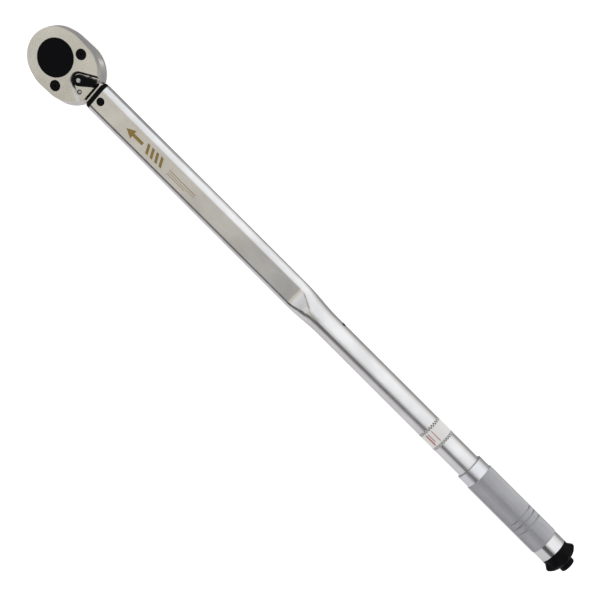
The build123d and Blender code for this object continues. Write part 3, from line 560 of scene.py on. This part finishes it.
def make_world():
    """White to the camera; in reflections, a bright overhead sweep with dark and grey bands beside it."""
    world = bpy.data.worlds.new("studio")
    bpy.context.scene.world = world
    world.use_nodes = True
    tree = world.node_tree
    tree.nodes.clear()
    output = tree.nodes.new("ShaderNodeOutputWorld")
    coordinates = tree.nodes.new("ShaderNodeTexCoord")
    x, y, z = parts_of(tree, coordinates.outputs["Generated"])
    turn = maths(tree, "ARCTAN2", y, z)  # 0 overhead, positive towards +Y
    # The bands climb towards the handle's end.
    high_side = mapped(tree, turn, math.radians(20), math.radians(35), 0.0, 1.0)
    climb = maths(tree, "MAXIMUM", maths(tree, "ADD", x, 0.03), 0.0)
    turn = maths(tree, "SUBTRACT", turn, maths(tree, "MULTIPLY", climb, math.radians(115)))
    share = mapped(tree, turn, -math.pi, math.pi, 0.0, 1.0)
    ramp = tree.nodes.new("ShaderNodeValToRGB")
    tree.links.new(share, ramp.inputs[0])
    bands = (
        (-180, (0.30, 0.29, 0.27)),
        (-160, (0.72, 0.72, 0.75)),
        (-66, (0.80, 0.79, 0.83)),
        (-56, (0.10, 0.10, 0.10)),
        (-29, (0.10, 0.10, 0.10)),
        (-24, (0.62, 0.62, 0.615)),
        (-16, (0.66, 0.66, 0.655)),
        (-10, (1.10, 1.12, 1.16)),
        (100, (1.15, 1.18, 1.22)),
        (115, (0.30, 0.27, 0.24)),
        (170, (0.22, 0.21, 0.19)),
    )
    elements = ramp.color_ramp.elements
    for index, (angle, colour) in enumerate(bands):
        position = (angle + 180) / 360
        element = elements[index] if index < 2 else elements.new(position)
        element.position = position
        element.color = colour + (1.0,)
    # Faces that lean forward, such as the flare behind the flats, see a bright card with a dull stripe.
    card = mapped(tree, x, -0.31, -0.27, 1.0, 0.0)
    card = maths(tree, "MULTIPLY", card, mapped(tree, turn, math.radians(-34), math.radians(-26), 0.0, 1.0))
    stripe = inside(tree, turn, math.radians(-15), math.radians(-2))
    card_tone = blended(tree, stripe, (1.05, 1.06, 1.10, 1), (0.22, 0.21, 0.16, 1))
    # The band that the flats see is warmer towards the head.
    warm = mapped(tree, x, -0.17, -0.02, 1.0, 0.0)
    warm = maths(tree, "MULTIPLY", warm, inside(tree, turn, math.radians(-26), math.radians(-12)))
    banded = blended(tree, warm, ramp.outputs["Color"], (0.82, 0.76, 0.62, 1))
    banded = blended(tree, card, banded, card_tone)
    # Faces that lean back on the far side, such as the rear of the head's wall, see a grey one.
    shade = maths(tree, "MULTIPLY", mapped(tree, x, 0.45, 0.54, 0.0, 1.0), high_side)
    banded = blended(tree, shade, banded, (0.36, 0.36, 0.39, 1))
    mirrored = tree.nodes.new("ShaderNodeBackground")
    tree.links.new(banded, mirrored.inputs["Color"])
    mirrored.inputs["Strength"].default_value = 1.0
    plain = tree.nodes.new("ShaderNodeBackground")
    plain.inputs["Color"].default_value = (1, 1, 1, 1)
    path = tree.nodes.new("ShaderNodeLightPath")
    feed(tree, mapped(tree, path.outputs["Is Camera Ray"], 0.0, 1.0, 0.6, 1.0), plain.inputs["Strength"])
    mix = tree.nodes.new("ShaderNodeMixShader")
    tree.links.new(path.outputs["Is Glossy Ray"], mix.inputs[0])
    tree.links.new(plain.outputs[0], mix.inputs[1])
    tree.links.new(mirrored.outputs[0], mix.inputs[2])
    tree.links.new(mix.outputs[0], output.inputs["Surface"])


def add_area(name, location, target, size, power):
    """Soft area light aimed at a point."""
    light = bpy.data.lights.new(name, "AREA")
    light.shape = "DISK"
    light.size = size
    light.energy = power
    lamp = bpy.data.objects.new(name, light)
    bpy.context.scene.collection.objects.link(lamp)
    lamp.location = location
    lamp.rotation_mode = "QUATERNION"
    lamp.rotation_quaternion = (Vector(target) - Vector(location)).to_track_quat("-Z", "Y")
    lamp.visible_glossy = False


def make_camera():
    """Looks straight at the wrench, rolled so that it lies along the picture's diagonal."""
    back = Vector((0, math.sin(CAMERA_ROLL), math.cos(CAMERA_ROLL)))
    side = Vector((0, math.cos(CAMERA_ROLL), -math.sin(CAMERA_ROLL)))
    along = Vector((1, 0, 0))
    right = (along + side).normalized()
    up = (side - along).normalized()
    camera_data = bpy.data.cameras.new("camera")
    camera_data.sensor_width = 36.0
    camera_data.lens = CAMERA_LENS
    camera = bpy.data.objects.new("camera", camera_data)
    bpy.context.scene.collection.objects.link(camera)
    turn = Matrix((right, up, back)).transposed() @ Matrix.Rotation(-CAMERA_TWIST, 3, "Z")
    centre = Vector((AIM_X, 0, TUBE_AXIS_Z)) + side * AIM_SIDE
    camera.matrix_world = Matrix.Translation(centre + back * CAMERA_DISTANCE) @ turn.to_4x4()
    bpy.context.scene.camera = camera


make_floor()
make_world()
add_area("key", (0.2, 0.9, 1.6), (0.39, 0, 0), 1.2, 7.0)
add_area("fill", (0.7, -1.0, 1.3), (0.39, 0, 0), 1.2, 3.0)
make_camera()
bpy.context.scene.view_settings.view_transform = "Standard"
